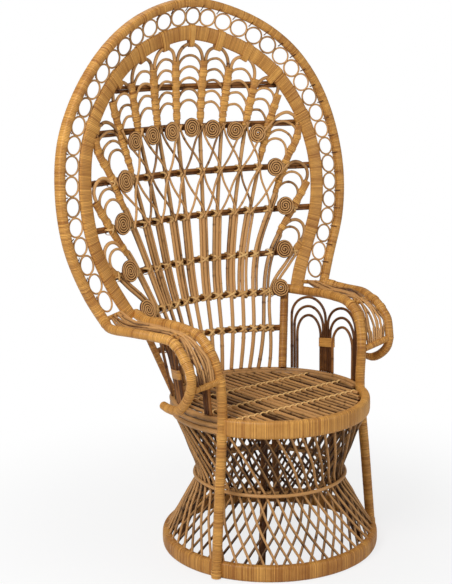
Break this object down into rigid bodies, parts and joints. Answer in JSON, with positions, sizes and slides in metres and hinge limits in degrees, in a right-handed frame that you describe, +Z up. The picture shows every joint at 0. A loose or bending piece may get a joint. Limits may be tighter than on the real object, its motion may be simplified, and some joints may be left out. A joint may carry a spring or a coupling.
{
  "type": "armchair",
  "caption": "Rattan peacock chair: hourglass base of crossed canes, round seat, rolled arms and a tall fan back with nested arches.",
  "frame": {"origin": "middle of the bounding box's underside, at the floor", "axes": "+Z up, -Y towards the front of the seat, +X to the right seen from the front"},
  "size_m": [1.0116, 0.6814, 1.5021],
  "materials": {
    "wrapped_cane": "satin",
    "bare_cane": "satin",
    "dark_cane": "satin"
  },
  "bodies": {
    "root": {"base_hoop": "wrapped_cane", "outer_lattice": "bare_cane", "inner_lattice": "bare_cane", "leg_right_rear": "dark_cane", "leg_right_front": "dark_cane", "leg_left_front": "dark_cane", "leg_left_rear": "dark_cane", "seat_front_band": "wrapped_cane", "seat_rim": "bare_cane", "seat_deck": "bare_cane", "front_post_right": "wrapped_cane", "front_post_left": "wrapped_cane", "outer_arm_rail_right": "wrapped_cane", "outer_arm_rail_left": "wrapped_cane", "arm_fan_right": "bare_cane", "arm_fan_left": "bare_cane", "rear_post_right": "wrapped_cane", "rear_post_left": "wrapped_cane", "side_arches_right": "dark_cane", "side_arches_left": "dark_cane", "outer_hoop": "wrapped_cane", "inner_hoop": "wrapped_cane", "ring_strip": "bare_cane", "cross_bar_1": "dark_cane", "cross_bar_2": "dark_cane", "cross_bar_3": "dark_cane", "cross_bar_4": "dark_cane", "cross_bar_5": "dark_cane", "cross_bar_6": "dark_cane", "cross_bar_7": "dark_cane", "feather_0": "bare_cane", "feather_1_right": "bare_cane", "feather_1_left": "bare_cane", "feather_2_right": "bare_cane", "feather_2_left": "bare_cane", "feather_3_right": "bare_cane", "feather_3_left": "bare_cane", "feather_4_right": "bare_cane", "feather_4_left": "bare_cane", "feather_5_right": "bare_cane", "feather_5_left": "bare_cane", "feather_6_right": "bare_cane", "feather_6_left": "bare_cane", "crossing_canes": "bare_cane", "coil_0": "wrapped_cane", "coil_1_right": "wrapped_cane", "coil_1_left": "wrapped_cane", "coil_2_right": "wrapped_cane", "coil_2_left": "wrapped_cane", "coil_3_right": "wrapped_cane", "coil_3_left": "wrapped_cane", "coil_4_right": "wrapped_cane", "coil_4_left": "wrapped_cane", "coil_5_right": "wrapped_cane", "coil_5_left": "wrapped_cane", "coil_6_right": "wrapped_cane", "coil_6_left": "wrapped_cane", "coil_7_right": "wrapped_cane", "coil_7_left": "wrapped_cane"}
  },
  "joints": []
}
